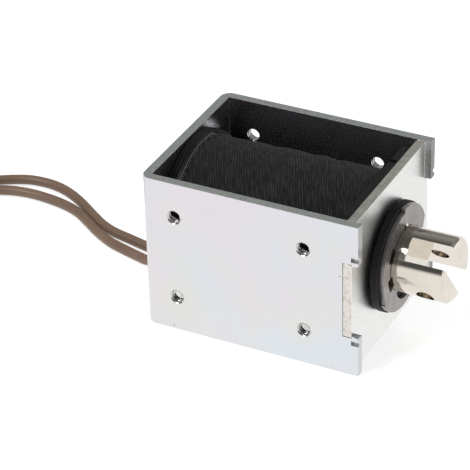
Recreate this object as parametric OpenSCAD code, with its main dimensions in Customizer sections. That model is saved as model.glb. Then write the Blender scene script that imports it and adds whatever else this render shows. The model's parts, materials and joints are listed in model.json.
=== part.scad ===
/* [Frame] */
// Length from the back of the rear wall to the face of the front plate
frame_len = 48.8; // [44:0.1:60]
// Width over the two side legs
frame_w = 40; // [38.5:0.1:50]
// Height of the side legs and the rear wall
frame_h = 36.6; // [35.8:0.1:46]
// Thickness of the bent frame sheet
sheet = 2; // [1.5:0.1:2.4]
// Inner radius of the two bends
bend_r = 0.3; // [0.2:0.1:1]
// How far the legs run on past the front plate
ear_len = 1.5; // [1.2:0.1:4]
// Play between pieces that are only pushed together
seat_play = 0.1; // [0.05:0.01:0.2]

/* [Front plate] */
// Thickness of the front plate
plate_t = 2; // [1.5:0.1:3]
// How far the top of the plate sits below the top of the legs
plate_drop = 0.3; // [0.1:0.1:1.5]
// Height of the two tabs that sit in the legs
tab_h = 18; // [10:0.5:24]

/* [Staking] */
// Width of the punch that stakes the legs over the plate
punch_w = 1.6; // [0.8:0.1:2]
// Height of the punch mark
punch_h = 1.2; // [0.8:0.1:2]
// Depth of the punch mark
punch_d = 0.7; // [0.3:0.1:1]
// Steel left between the punch mark and the notch
punch_edge = 0.6; // [0.4:0.1:1.5]
// How far the staked steel stands into the notch
nib_h = 0.5; // [0.3:0.1:0.8]

/* [Side holes] */
// Radius of the fixing holes in the legs
hole_r = 1.5; // [1:0.1:2]
// Hole spacing along the frame
hole_dx = 30; // [24:0.5:34]
// Hole spacing up the frame
hole_dz = 20; // [14:0.5:26]
// Distance from the back of the frame to the rear holes
hole_back = 7.8; // [5:0.1:10]
// Depth of the countersink at each hole
hole_sink = 0.2; // [0.1:0.05:0.4]

/* [Bobbin] */
// Clearance between the round rear flange and the side legs
flange_play = 0.2; // [0.1:0.05:0.6]
// Thickness of the rear flange
rear_flange_t = 2.6; // [1.5:0.1:4]
// Thickness of the square front flange
front_flange_t = 2.2; // [1.5:0.1:4]
// Set-back of the front flange inside the frame on every side
front_flange_gap = 0.7; // [0.2:0.1:1.5]
// Corner radius of the front flange
front_corner_r = 2.5; // [1:0.5:5]
// Width of the wire groove in the front flange
wire_groove_w = 1.2; // [0.6:0.1:2]
// Distance of the wire groove from the middle
wire_groove_y = 9; // [5:0.5:12]
// Wall of the bobbin tube
hub_wall = 1.2; // [0.8:0.1:2]

/* [Coil] */
// How far the cloth wrap lies below the rim of the rear flange
wrap_drop = 0.6; // [0.3:0.1:2]
// Thickness of the film tape on the winding
tape_t = 0.2; // [0.1:0.05:0.4]
// Thickness of the cloth wrap
wrap_t = 0.6; // [0.3:0.1:0.8]
// Length of the overlap where the cloth ends, in degrees
wrap_lap = 30; // [10:5:60]

/* [Plunger] */
// Radius of the plunger
plunger_r = 7.25; // [6.8:0.05:7.6]
// How far the plunger stands out of the front plate
nose_out = 15; // [13:0.1:20]
// Width of the fork slot
slot_w = 5.4; // [4:0.1:6]
// Depth of the fork slot
slot_depth = 9.1; // [7:0.1:10]
// Radius of the cross hole through the fork
cross_r = 2; // [1:0.1:2.2]
// Distance from the end of the fork to the cross hole
cross_back = 4.5; // [3.5:0.1:6]
// Turn of the slot about the plunger axis
slot_turn = 38; // [0:1:90]
// Chamfer on the edges of the plunger
plunger_chamfer = 0.5; // [0.2:0.1:1]
// Running clearance of the plunger in its tube
run_gap = 0.05; // [0.03:0.01:0.09]
// Stroke of the plunger
stroke = 12; // [6:0.5:14]

/* [Stop stack] */
// Gap between the front plate and the damping washer
stop_gap = 0.6; // [0.5:0.05:2]
// Radius of the damping washer
damper_r = 12.2; // [11:0.1:14]
// Thickness of the damping washer
damper_t = 1.6; // [1:0.1:3]
// Radius of the retaining ring over its two arms
ring_r = 11.9; // [10.5:0.1:13]
// Radius of the ring's closed side
ring_back_r = 10.9; // [9.5:0.1:12]
// Thickness of the retaining ring
ring_t = 1; // [0.6:0.1:1.3]
// Radius of the groove that the ring sits in
groove_r = 6; // [5.5:0.1:6.4]
// Turn of the ring's mouth about the plunger axis
mouth_turn = 340; // [0:1:360]

/* [Core and tube] */
// Wall of the brass guide tube
tube_wall = 0.4; // [0.3:0.05:0.8]
// Length of the fixed core inside the frame
core_len = 15; // [10:0.5:20]
// Radius of the core's riveted neck
neck_r = 4.5; // [3.5:0.1:6]
// Height of the riveted head on the neck
rivet_h = 0.6; // [0.3:0.1:1]
// Depth of the tapered seat in the core
seat_depth = 4; // [2:0.5:6]
// Thickness of the residual shim
shim_t = 0.3; // [0.2:0.05:0.5]
// Air left between plunger and shim when the plunger is fully in
core_air = 0.2; // [0.1:0.05:0.5]

/* [Push rod] */
// Radius of the push rod
rod_r = 1.5; // [1:0.1:2]
// How far the rod stands out of the rear wall at rest
rod_out = 8; // [5:0.5:9]
// Length of the rod held in the plunger
rod_grip = 9; // [6:0.5:12]
// Wall of the rod's guide bush
bush_wall = 1; // [0.6:0.1:1.5]

/* [Leads] */
// Diameter of each lead over its insulation
lead_d = 2.3; // [1.6:0.1:2.5]
// Distance between the two leads where they leave the frame
lead_pitch = 5; // [4.4:0.1:7]
// Distance of the leads below the plunger axis where they leave the frame
lead_drop = 12.3; // [10:0.1:13]
// Radius of the bare wire in each lead
core_wire_r = 0.45; // [0.3:0.05:0.6]
// Length of tinned wire at the free end of each lead
tip_len = 5; // [3:0.5:6]
// How far the lead outlet stands out of the rear wall
outlet_out = 1.5; // [0.8:0.1:3]
// Wall of the lead outlet round each lead
outlet_wall = 0.9; // [0.6:0.1:1.5]

/* [Hidden] */
$fn = 96;
eps = 0.01;

// Places along the axis, measured from the back of the rear wall
plate_in = frame_len - plate_t;
plunger_end = frame_len + nose_out;
slot_bottom = plunger_end - slot_depth;
cross_x = plunger_end - cross_back;
damper_x = frame_len + stop_gap;
ring_x = damper_x + damper_t;
ring_front = ring_x + ring_t;
core_face = sheet + core_len;
shim_face = core_face + shim_t;
plunger_back = shim_face + core_air + stop_gap;
coil_back = sheet + rear_flange_t;
coil_front = plate_in - front_flange_t;

// Heights and half widths
axis_z = frame_h / 2;
lead_z = axis_z - lead_drop;
inner_half = frame_w / 2 - sheet;
bend_out = bend_r + sheet;
front_half = inner_half - front_flange_gap;
front_half_h = frame_h / 2 - front_flange_gap - plate_drop;
plate_half = inner_half - seat_play / 2;

// Radii that fit in one another
tube_in_r = plunger_r + run_gap;
tube_out_r = tube_in_r + tube_wall;
hub_in_r = tube_out_r + seat_play / 2;
hub_out_r = hub_in_r + hub_wall;
core_r = tube_in_r - run_gap;
bush_in_r = rod_r + run_gap;
bush_out_r = bush_in_r + bush_wall;
flange_r = min(inner_half, axis_z) - flange_play;
wrap_r = flange_r - wrap_drop;
tape_r = wrap_r - wrap_t;
winding_r = tape_r - tape_t;

// Tapered seat: a short cone that the plunger's nose follows
seat_big_r = plunger_r - 1.6;
seat_small_r = seat_big_r - seat_depth * tan(30);
seat_air = core_air + stop_gap;

// The cloth's end lies under the coil, towards the near leg
lap_place = 250;

// Rear flange rim: two shallow grooves
rim_groove = 0.3;
flange_lip = 0.35;

// Retaining ring outline: angles are measured from the middle of its closed side
shoulder_from = -52;
shoulder_to = 72;
ramp_from = -15;
arm_reach = 0.74 * ring_r;
pocket_r = groove_r + 2.45;
ring_pockets = [[-54, -28], [0, 24]];
arm_gap_from = 72;
arm_gap_to = 130;
arm_gap_turn = 77;
arm_gap_r = plunger_r;
prong_end = -81;
hollow_r = groove_r - 0.3;
hollow_out = 0.4 * ring_r;
hollow_turn = -53;
mouth_half = groove_r - 1.1;

// Leads: the joints in the back of the winding
lead_r = lead_d / 2;
lead_play = 0.05;
joint_len = 4;
joint_r = 0.8;
sleeve_t = 0.3;
stub_in = coil_back + 2.5;
joint_pocket_r = lead_r + 0.15;
outlet_r = lead_r + outlet_wall;
outlet_lip = 0.6;

// Middle of the solenoid without its leads, which is put over the origin
x_mid = (plunger_end - rod_out) / 2;

// Routes of the two leads from the outlet to their coils, from the back of the rear wall
lead_a_run = [
    [-3, 2.6, 6], [-5, 2.8, 5.5], [-7, 3.2, 4], [-9, 3.7, 2.4], [-11, 4.2, 1.5], [-13, 4.8, lead_r],
    [-18, 6, lead_r], [-23, 7.2, lead_r], [-27, 9, lead_r], [-31.5, 12, lead_r], [-36.3, 15.4, lead_r],
    [-40.5, 17.8, lead_r], [-44.3, 19.2, lead_r], [-48, 19.7, lead_r], [-52, 19.4, lead_r],
    [-55.5, 18.1, lead_r], [-59, 16.2, lead_r], [-64, 13.6, lead_r], [-69, 11.6, lead_r], [-74, 10.3, lead_r]
];
lead_b_run = [
    [-3, -2.5, 6], [-5, -2.2, 5.3], [-7, -1.6, 3.6], [-9, -0.9, 2], [-10.8, -0.3, 1.3], [-13, 0.4, lead_r],
    [-18, 1.8, lead_r], [-22, 3.2, lead_r], [-26.5, 5.7, lead_r], [-31, 8.8, lead_r], [-35, 11.3, lead_r],
    [-39.5, 12.9, lead_r], [-44, 13.7, lead_r], [-48.6, 14, lead_r], [-53, 13.5, lead_r],
    [-57, 12.2, lead_r], [-62, 10.2, lead_r], [-67, 7.6, lead_r]
];
// Centre of each coil of lead, and the angle at which the lead joins it
coil_a_at = [-84.5, 22];
coil_b_at = [-70.5, -6];
coil_a_join = -70;
coil_b_join = 85;
turn_r = 14.1;
turns = 2;
turn_pitch = 2.4;
coil_in_r = turn_r - turns * turn_pitch - lead_r - seat_play;
coil_out_r = turn_r + lead_r + seat_play;
curl_r = 5;
curl_turn = 75;

module placed() {
    translate([-x_mid, 0, 0]) children();
}

// A cylinder along +X from x = a to x = b on the plunger axis
module bar(a, b, r) {
    translate([a, 0, axis_z]) rotate([0, 90, 0]) cylinder(h = b - a, r = r);
}

// A cone along +X, radius ra at a and rb at b
module taper(a, b, ra, rb) {
    translate([a, 0, axis_z]) rotate([0, 90, 0]) cylinder(h = b - a, r1 = ra, r2 = rb);
}

// A profile of [x, radius] points turned about the plunger axis
module turned(profile) {
    translate([0, 0, axis_z]) rotate([0, 90, 0])
        rotate_extrude() polygon([for (p = profile) [p[1], p[0]]]);
}

module box(low, high) {
    translate(low) cube(high - low);
}

// ---- frame ----
module bent_sheet() {
    half = frame_w / 2;
    difference() {
        union() {
            box([bend_out, -half, 0], [frame_len + ear_len, half, frame_h]);
            box([0, -half + bend_out, 0], [bend_out + eps, half - bend_out, frame_h]);
            for (s = [-1, 1]) translate([bend_out, s * (half - bend_out), 0])
                cylinder(h = frame_h, r = bend_out);
        }
        translate([0, 0, -1]) union() {
            box([sheet + bend_r, -inner_half, 0], [frame_len + ear_len + 1, inner_half, frame_h + 2]);
            box([sheet, -inner_half + bend_r, 0], [sheet + bend_r + eps, inner_half - bend_r, frame_h + 2]);
            for (s = [-1, 1]) translate([sheet + bend_r, s * (inner_half - bend_r), 0])
                cylinder(h = frame_h + 2, r = bend_r);
        }
    }
}

// Punch mark beside the notch, and the steel that it pushes over the plate
module punch_mark(side, end) {
    edge = axis_z + end * (tab_h / 2 + seat_play + punch_edge);
    low = min(edge, edge + end * punch_h);
    face = side * frame_w / 2;
    translate([frame_len + ear_len - punch_w, face - punch_d, low]) cube([punch_w + 1, 2 * punch_d, punch_h]);
}

module staked_nib(side, end) {
    edge = axis_z + end * (tab_h / 2 + seat_play);
    wide = sheet - 0.6;
    start = frame_len + seat_play / 2;
    long = ear_len - seat_play;
    y = side > 0 ? frame_w / 2 - wide : -frame_w / 2;
    translate([start, y, edge]) mirror([0, 0, end > 0 ? 0 : 1]) rotate([0, 90, 90])
        linear_extrude(wide) polygon([[-eps, 0], [nib_h, 0], [nib_h * 0.4, -long], [-eps, -long]]);
}

module side_holes(side) {
    for (x = [hole_back, hole_back + hole_dx], z = [-1, 1])
        translate([x, side * frame_w / 2, axis_z + z * hole_dz / 2]) rotate([side * 90, 0, 0]) {
            translate([0, 0, -1]) cylinder(h = sheet + 2, r = hole_r);
            translate([0, 0, -eps]) cylinder(h = hole_sink, r1 = hole_r + hole_sink, r2 = hole_r);
        }
}

module lead_opening(extra) {
    for (s = [-1, 1]) translate([-1, s * lead_pitch / 2, lead_z]) rotate([0, 90, 0])
        cylinder(h = sheet + 2, r = outlet_r + extra);
    box([-1, -lead_pitch / 2, lead_z - outlet_r - extra], [sheet + 1, lead_pitch / 2, lead_z + outlet_r + extra]);
}

module frame() {
    notch = tab_h / 2 + seat_play;
    color("silver") placed() union() {
        difference() {
            bent_sheet();
            for (s = [-1, 1]) {
                side_holes(s);
                box([plate_in - seat_play / 2, s > 0 ? inner_half - 1 : -frame_w / 2 - 1, axis_z - notch],
                    [frame_len + ear_len + 1, s > 0 ? frame_w / 2 + 1 : -inner_half + 1, axis_z + notch]);
                for (e = [-1, 1]) punch_mark(s, e);
            }
            bar(-1, sheet + 1, neck_r);
            lead_opening(seat_play / 2);
        }
        for (s = [-1, 1], e = [-1, 1]) staked_nib(s, e);
    }
}

// ---- front plate ----
module front_plate() {
    color("gainsboro") placed() difference() {
        union() {
            box([plate_in, -plate_half, 0], [frame_len, plate_half, frame_h - plate_drop]);
            box([plate_in, -frame_w / 2, axis_z - tab_h / 2], [frame_len, frame_w / 2, axis_z + tab_h / 2]);
        }
        bar(plate_in - 1, frame_len + 1, tube_out_r + seat_play / 2);
    }
}

// ---- bobbin, winding and wraps ----
module rear_rim() {
    third = rear_flange_t / 3;
    turned([
        [sheet, hub_in_r], [sheet, flange_r - flange_lip], [sheet + flange_lip, flange_r],
        [sheet + third - rim_groove, flange_r], [sheet + third, flange_r - rim_groove],
        [sheet + third + rim_groove, flange_r],
        [sheet + 2 * third - rim_groove, flange_r], [sheet + 2 * third, flange_r - rim_groove],
        [sheet + 2 * third + rim_groove, flange_r], [coil_back, flange_r], [coil_back, hub_in_r]
    ]);
}

module square_flange() {
    half_y = front_half - front_corner_r;
    half_z = front_half_h - front_corner_r;
    box([coil_front, -front_half, axis_z - half_z], [plate_in, front_half, axis_z + half_z]);
    box([coil_front, -half_y, axis_z - front_half_h], [plate_in, half_y, axis_z + front_half_h]);
    for (y = [-1, 1], z = [-1, 1]) translate([coil_front, y * half_y, axis_z + z * half_z])
        rotate([0, 90, 0]) cylinder(h = front_flange_t, r = front_corner_r);
}

module wire_groove(from, to) {
    half = wire_groove_w / 2;
    box([from, wire_groove_y - half, axis_z + 2 * half], [to, wire_groove_y + half, frame_h]);
}

module bobbin() {
    color([0.1, 0.1, 0.1]) placed() difference() {
        union() {
            rear_rim();
            square_flange();
            bar(sheet, plate_in, hub_out_r);
        }
        bar(sheet - 1, plate_in + 1, hub_in_r);
        wire_groove(coil_front - eps, plate_in - front_flange_t / 3);
        for (s = [-1, 1]) translate([sheet - 1, s * lead_pitch / 2, lead_z]) rotate([0, 90, 0])
            cylinder(h = rear_flange_t + 2, r = lead_r + lead_play);
    }
}

module winding() {
    color([0.72, 0.38, 0.2]) placed() difference() {
        bar(coil_back, coil_front, winding_r);
        bar(coil_back - 1, coil_front + 1, hub_out_r);
        for (s = [-1, 1]) translate([coil_back - 1, s * lead_pitch / 2, lead_z]) rotate([0, 90, 0])
            cylinder(h = stub_in - coil_back + joint_len + 2, r = joint_pocket_r);
    }
}

module coil_tape() {
    color([0.85, 0.7, 0.2]) placed() difference() {
        bar(coil_back, coil_front, tape_r);
        bar(coil_back - 1, coil_front + 1, winding_r);
    }
}

// Cloth wrap, one layer round and a second where its end laps over the start
module wrap_outline() {
    first_layer = wrap_t * 2 / 3;
    difference() {
        union() {
            circle(r = tape_r + first_layer);
            intersection() {
                circle(r = wrap_r);
                rotate(lap_place) polygon([
                    [0, 0],
                    2 * wrap_r * [cos(wrap_lap / 2), -sin(wrap_lap / 2)],
                    2 * wrap_r * [cos(wrap_lap / 2), sin(wrap_lap / 2)]
                ]);
            }
        }
        circle(r = tape_r);
    }
}

module coil_wrap() {
    length = coil_front - coil_back - 2 * seat_play;
    color([0.16, 0.16, 0.17]) placed() translate([coil_back + seat_play, 0, axis_z])
        rotate([90, 0, 90]) linear_extrude(length) wrap_outline();
}

// ---- tube and core ----
module guide_tube() {
    color([0.8, 0.65, 0.3]) placed() difference() {
        bar(sheet, frame_len, tube_out_r);
        bar(sheet - 1, frame_len + 1, tube_in_r);
    }
}

module fixed_core() {
    bush_len = 6;
    color([0.6, 0.6, 0.62]) placed() turned([
        [-rivet_h, bush_in_r + 0.3], [-rivet_h, neck_r - 0.3], [-rivet_h / 2, neck_r + 0.5], [0, neck_r + 0.5],
        [0, neck_r], [sheet, neck_r], [sheet, core_r], [core_face, core_r],
        [core_face, seat_big_r], [core_face - seat_depth, seat_small_r],
        [core_face - seat_depth, bush_out_r], [core_face - seat_depth - bush_len, bush_out_r],
        [core_face - seat_depth - bush_len, bush_in_r + 0.3]
    ]);
}

module rod_bush() {
    color([0.7, 0.5, 0.25]) placed() difference() {
        bar(core_face - seat_depth - 6, core_face - seat_depth, bush_out_r);
        bar(0, core_face, bush_in_r);
    }
}

module residual_shim() {
    color([0.85, 0.72, 0.35]) placed() difference() {
        bar(core_face, shim_face, core_r);
        bar(core_face - 1, shim_face + 1, seat_big_r);
    }
}

// ---- lead outlet and joints ----
module lead_outlet() {
    color([0.12, 0.12, 0.12]) placed() difference() {
        union() {
            for (s = [-1, 1]) translate([-outlet_out, s * lead_pitch / 2, lead_z]) rotate([0, 90, 0])
                cylinder(h = outlet_out + sheet, r = outlet_r);
            box([-outlet_out, -lead_pitch / 2, lead_z - outlet_r], [sheet, lead_pitch / 2, lead_z + outlet_r]);
            for (s = [-1, 1]) translate([-outlet_lip, s * lead_pitch / 2, lead_z]) rotate([0, 90, 0])
                cylinder(h = outlet_lip, r = outlet_r + outlet_lip);
            box([-outlet_lip, -lead_pitch / 2, lead_z - outlet_r - outlet_lip],
                [0, lead_pitch / 2, lead_z + outlet_r + outlet_lip]);
        }
        for (s = [-1, 1]) translate([-outlet_out - 1, s * lead_pitch / 2, lead_z]) rotate([0, 90, 0])
            cylinder(h = outlet_out + sheet + 2, r = lead_r + lead_play);
    }
}

module inner_leads() {
    color([0.45, 0.33, 0.25]) placed() for (s = [-1, 1])
        translate([-outlet_out, s * lead_pitch / 2, lead_z]) rotate([0, 90, 0])
            cylinder(h = outlet_out + stub_in, r = lead_r);
}

module solder_joints() {
    color([0.8, 0.8, 0.8]) placed() for (s = [-1, 1])
        translate([stub_in, s * lead_pitch / 2, lead_z]) rotate([0, 90, 0]) {
            cylinder(h = joint_len, r = core_wire_r);
            translate([0, 0, 1]) cylinder(h = joint_len - 1, r = joint_r - sleeve_t);
        }
}

module joint_sleeves() {
    color([0.9, 0.85, 0.6]) placed() for (s = [-1, 1])
        translate([stub_in, s * lead_pitch / 2, lead_z]) rotate([0, 90, 0]) difference() {
            cylinder(h = joint_len, r = joint_r);
            translate([0, 0, -1]) cylinder(h = joint_len + 2, r = joint_r - sleeve_t + lead_play);
        }
}

// ---- leads ----
function unit(v) = v / norm(v);
function spline(p, i, t) =
    let (a = p[max(i - 1, 0)], b = p[i], c = p[i + 1], d = p[min(i + 2, len(p) - 1)])
    0.5 * (2 * b + (c - a) * t + (2 * a - 5 * b + 4 * c - d) * t * t + (3 * b - a - 3 * c + d) * t * t * t);
function smooth(p) = [
    for (i = [0:len(p) - 2], t = [0, 0.5]) spline(p, i, t),
    p[len(p) - 1]
];

// A round tube along the points, as one closed polyhedron; it leaves the outlet square to the wall
module lead_tube(path) {
    sides = 8;
    n = len(path);
    rings = [for (i = [0:n - 1])
        let (
            dir = i == 0 ? [-1, 0, 0] : unit(path[min(i + 1, n - 1)] - path[i - 1]),
            across = unit(cross([0, 0, 1], dir)),
            up = cross(dir, across)
        )
        for (k = [0:sides - 1]) path[i] + lead_r * (cos(k * 360 / sides) * across + sin(k * 360 / sides) * up)];
    faces = concat(
        [[for (k = [0:sides - 1]) k]],
        [[for (k = [sides - 1:-1:0]) (n - 1) * sides + k]],
        [for (i = [0:n - 2], k = [0:sides - 1])
            let (a = i * sides + k, b = i * sides + (k + 1) % sides) [a, a + sides, b + sides, b]]
    );
    polyhedron(points = rings, faces = faces);
}

function lead_start(side) = [-outlet_out, side * lead_pitch / 2, lead_z];
function joins(at, angle) = [at[0] + turn_r * cos(angle), at[1] + turn_r * sin(angle), lead_r];

module lead_a() {
    color([0.45, 0.33, 0.25]) placed()
        lead_tube(smooth(concat([lead_start(1)], lead_a_run, [joins(coil_a_at, coil_a_join)])));
}

module lead_b() {
    color([0.45, 0.33, 0.25]) placed()
        lead_tube(smooth(concat([lead_start(-1)], lead_b_run, [joins(coil_b_at, coil_b_join)])));
}

module lead_coil(at) {
    translate([at[0], at[1], 0]) rotate_extrude()
        translate([coil_in_r, 0]) square([coil_out_r - coil_in_r, lead_d]);
}

module lead_a_coil() {
    color([0.45, 0.33, 0.25]) placed() lead_coil(coil_a_at);
}

module lead_b_coil() {
    color([0.45, 0.33, 0.25]) placed() lead_coil(coil_b_at);
}

// The tinned end points into the middle of the coil; way is the sense in which the coil winds
module lead_tip(at, join, way) {
    end_r = turn_r - turns * turn_pitch;
    from = end_r - curl_r;
    translate([at[0], at[1], lead_r]) rotate([0, 0, join]) mirror([0, way > 0 ? 0 : 1, 0])
        translate([from + curl_r * cos(curl_turn), curl_r * sin(curl_turn), 0])
            rotate([0, 0, 90 + curl_turn]) rotate([0, 90, 0]) cylinder(h = tip_len, r = core_wire_r, $fn = 24);
}

module lead_a_tip() {
    color([0.85, 0.85, 0.85]) placed() lead_tip(coil_a_at, coil_a_join, -1);
}

module lead_b_tip() {
    color([0.85, 0.85, 0.85]) placed() lead_tip(coil_b_at, coil_b_join, 1);
}

// ---- stop stack ----
module damping_washer() {
    color([0.13, 0.13, 0.13]) placed() difference() {
        bar(damper_x, ring_x, damper_r);
        bar(damper_x - 1, ring_x + 1, plunger_r + run_gap);
    }
}

// Point on the ring's sketch at a radius and an angle from the middle of its closed side
function ring_point(r, a) = r * [-cos(a), sin(a)];

// Wedge between two angles, both measured from the middle of the ring's closed side
module wedge(from, to) {
    far = 3 * ring_r;
    mid = (from + to) / 2;
    polygon([[0, 0], for (a = [from, mid, to]) ring_point(far, a)]);
}

// Ring outline with its mouth towards +X of the sketch
module ring_outline() {
    difference() {
        union() {
            circle(r = ring_back_r);
            difference() {
                circle(r = ring_r);
                wedge(shoulder_from, shoulder_to);
            }
            polygon([[0, 0], ring_point(ring_back_r - 0.1, ramp_from), ring_point(ring_r - 0.1, shoulder_from - 2)]);
        }
        circle(r = groove_r);
        for (p = ring_pockets) intersection() {
            circle(r = pocket_r);
            wedge(p[0], p[1]);
        }
        intersection() {
            rotate(arm_gap_turn) translate([0, -ring_r]) square([arm_gap_r, 2 * ring_r]);
            wedge(arm_gap_from, arm_gap_to);
        }
        intersection() {
            rotate(hollow_turn) translate([hollow_out, 0]) circle(r = hollow_r);
            wedge(-180, prong_end);
        }
        translate([0, -mouth_half]) square([ring_r + 1, 2 * mouth_half]);
        translate([arm_reach, -ring_r - 1]) square([ring_r, 2 * ring_r + 2]);
    }
}

module retaining_ring() {
    color([0.55, 0.53, 0.5]) placed() translate([ring_x, 0, axis_z]) rotate([mouth_turn, 0, 0])
        rotate([90, 0, 90]) linear_extrude(ring_t) ring_outline();
}

// ---- plunger and rod ----
module plunger() {
    c = plunger_chamfer;
    groove_play = seat_play;
    nose_small = max(seat_small_r + seat_air * 0.2, rod_r + 0.4);
    color([0.85, 0.84, 0.8]) placed() difference() {
        turned([
            [plunger_back - seat_depth + 1, 0], [plunger_back - seat_depth + 1, nose_small],
            [plunger_back, seat_big_r - seat_air * tan(30)], [plunger_back, plunger_r - c],
            [plunger_back + c, plunger_r],
            [ring_x, plunger_r], [ring_x, groove_r], [ring_front + groove_play, groove_r],
            [ring_front + groove_play, plunger_r],
            [plunger_end - c, plunger_r], [plunger_end, plunger_r - c], [plunger_end, 0]
        ]);
        translate([0, 0, axis_z]) rotate([slot_turn, 0, 0]) {
            translate([slot_bottom, -slot_w / 2, -plunger_r - 1])
                cube([slot_depth + 1, slot_w, 2 * plunger_r + 2]);
            translate([cross_x, plunger_r + 1, 0]) rotate([90, 0, 0]) cylinder(h = 2 * plunger_r + 2, r = cross_r);
        }
        bar(plunger_back - seat_depth, plunger_back + rod_grip, rod_r);
    }
}

module push_rod() {
    end_chamfer = rod_r / 4;
    color([0.78, 0.78, 0.8]) placed() turned([
        [-rod_out, 0], [-rod_out, rod_r - end_chamfer], [-rod_out + end_chamfer, rod_r],
        [plunger_back + rod_grip, rod_r], [plunger_back + rod_grip, 0]
    ]);
}

frame();
front_plate();
bobbin();
winding();
coil_tape();
coil_wrap();
guide_tube();
fixed_core();
rod_bush();
residual_shim();
lead_outlet();
inner_leads();
solder_joints();
joint_sleeves();
lead_a();
lead_b();
lead_a_coil();
lead_b_coil();
lead_a_tip();
lead_b_tip();
damping_washer();
plunger();
retaining_ring();
push_rod();
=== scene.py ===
import json
import math

import bmesh
import bpy
from mathutils import Matrix, Vector

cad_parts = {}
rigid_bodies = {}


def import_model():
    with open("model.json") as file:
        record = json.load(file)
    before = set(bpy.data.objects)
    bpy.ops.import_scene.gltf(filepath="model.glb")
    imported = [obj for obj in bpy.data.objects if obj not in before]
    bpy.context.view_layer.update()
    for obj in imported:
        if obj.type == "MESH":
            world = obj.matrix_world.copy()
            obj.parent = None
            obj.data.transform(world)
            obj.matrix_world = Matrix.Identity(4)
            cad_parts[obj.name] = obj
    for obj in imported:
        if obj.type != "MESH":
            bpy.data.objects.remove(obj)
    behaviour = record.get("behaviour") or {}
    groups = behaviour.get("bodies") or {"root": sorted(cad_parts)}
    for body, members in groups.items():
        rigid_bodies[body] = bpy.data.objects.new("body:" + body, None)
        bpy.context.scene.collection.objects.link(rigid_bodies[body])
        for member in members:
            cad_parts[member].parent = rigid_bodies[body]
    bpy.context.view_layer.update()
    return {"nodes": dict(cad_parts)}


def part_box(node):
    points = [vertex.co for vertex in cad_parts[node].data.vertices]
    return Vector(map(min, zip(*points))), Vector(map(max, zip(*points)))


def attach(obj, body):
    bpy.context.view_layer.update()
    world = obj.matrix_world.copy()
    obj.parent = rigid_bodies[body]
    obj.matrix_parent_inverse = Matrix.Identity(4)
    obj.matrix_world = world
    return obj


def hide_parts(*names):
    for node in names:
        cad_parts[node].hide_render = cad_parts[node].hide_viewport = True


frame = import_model()
mm = 0.001
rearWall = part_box("frame")[0].x  # back of the rear wall
axisHeight = (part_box("frame")[0].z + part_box("frame")[1].z) / 2
print("frame loaded:", len(frame["nodes"]), "nodes")


def at(x, y, z):  # millimetres from the back of the rear wall, the mid plane and the floor
    return Vector((rearWall + x * mm, y * mm, z * mm))


# ---------- shader helpers

class Wire:
    def __init__(self, shade, socket):
        self.shade = shade
        self.socket = socket

    def __add__(self, other): return self.shade.math("ADD", self, other)
    def __radd__(self, other): return self.shade.math("ADD", other, self)
    def __sub__(self, other): return self.shade.math("SUBTRACT", self, other)
    def __rsub__(self, other): return self.shade.math("SUBTRACT", other, self)
    def __mul__(self, other): return self.shade.math("MULTIPLY", self, other)
    def __rmul__(self, other): return self.shade.math("MULTIPLY", other, self)
    def __truediv__(self, other): return self.shade.math("DIVIDE", self, other)
    def __pow__(self, other): return self.shade.math("POWER", self, other)
    def __abs__(self): return self.shade.math("ABSOLUTE", self)


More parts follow.
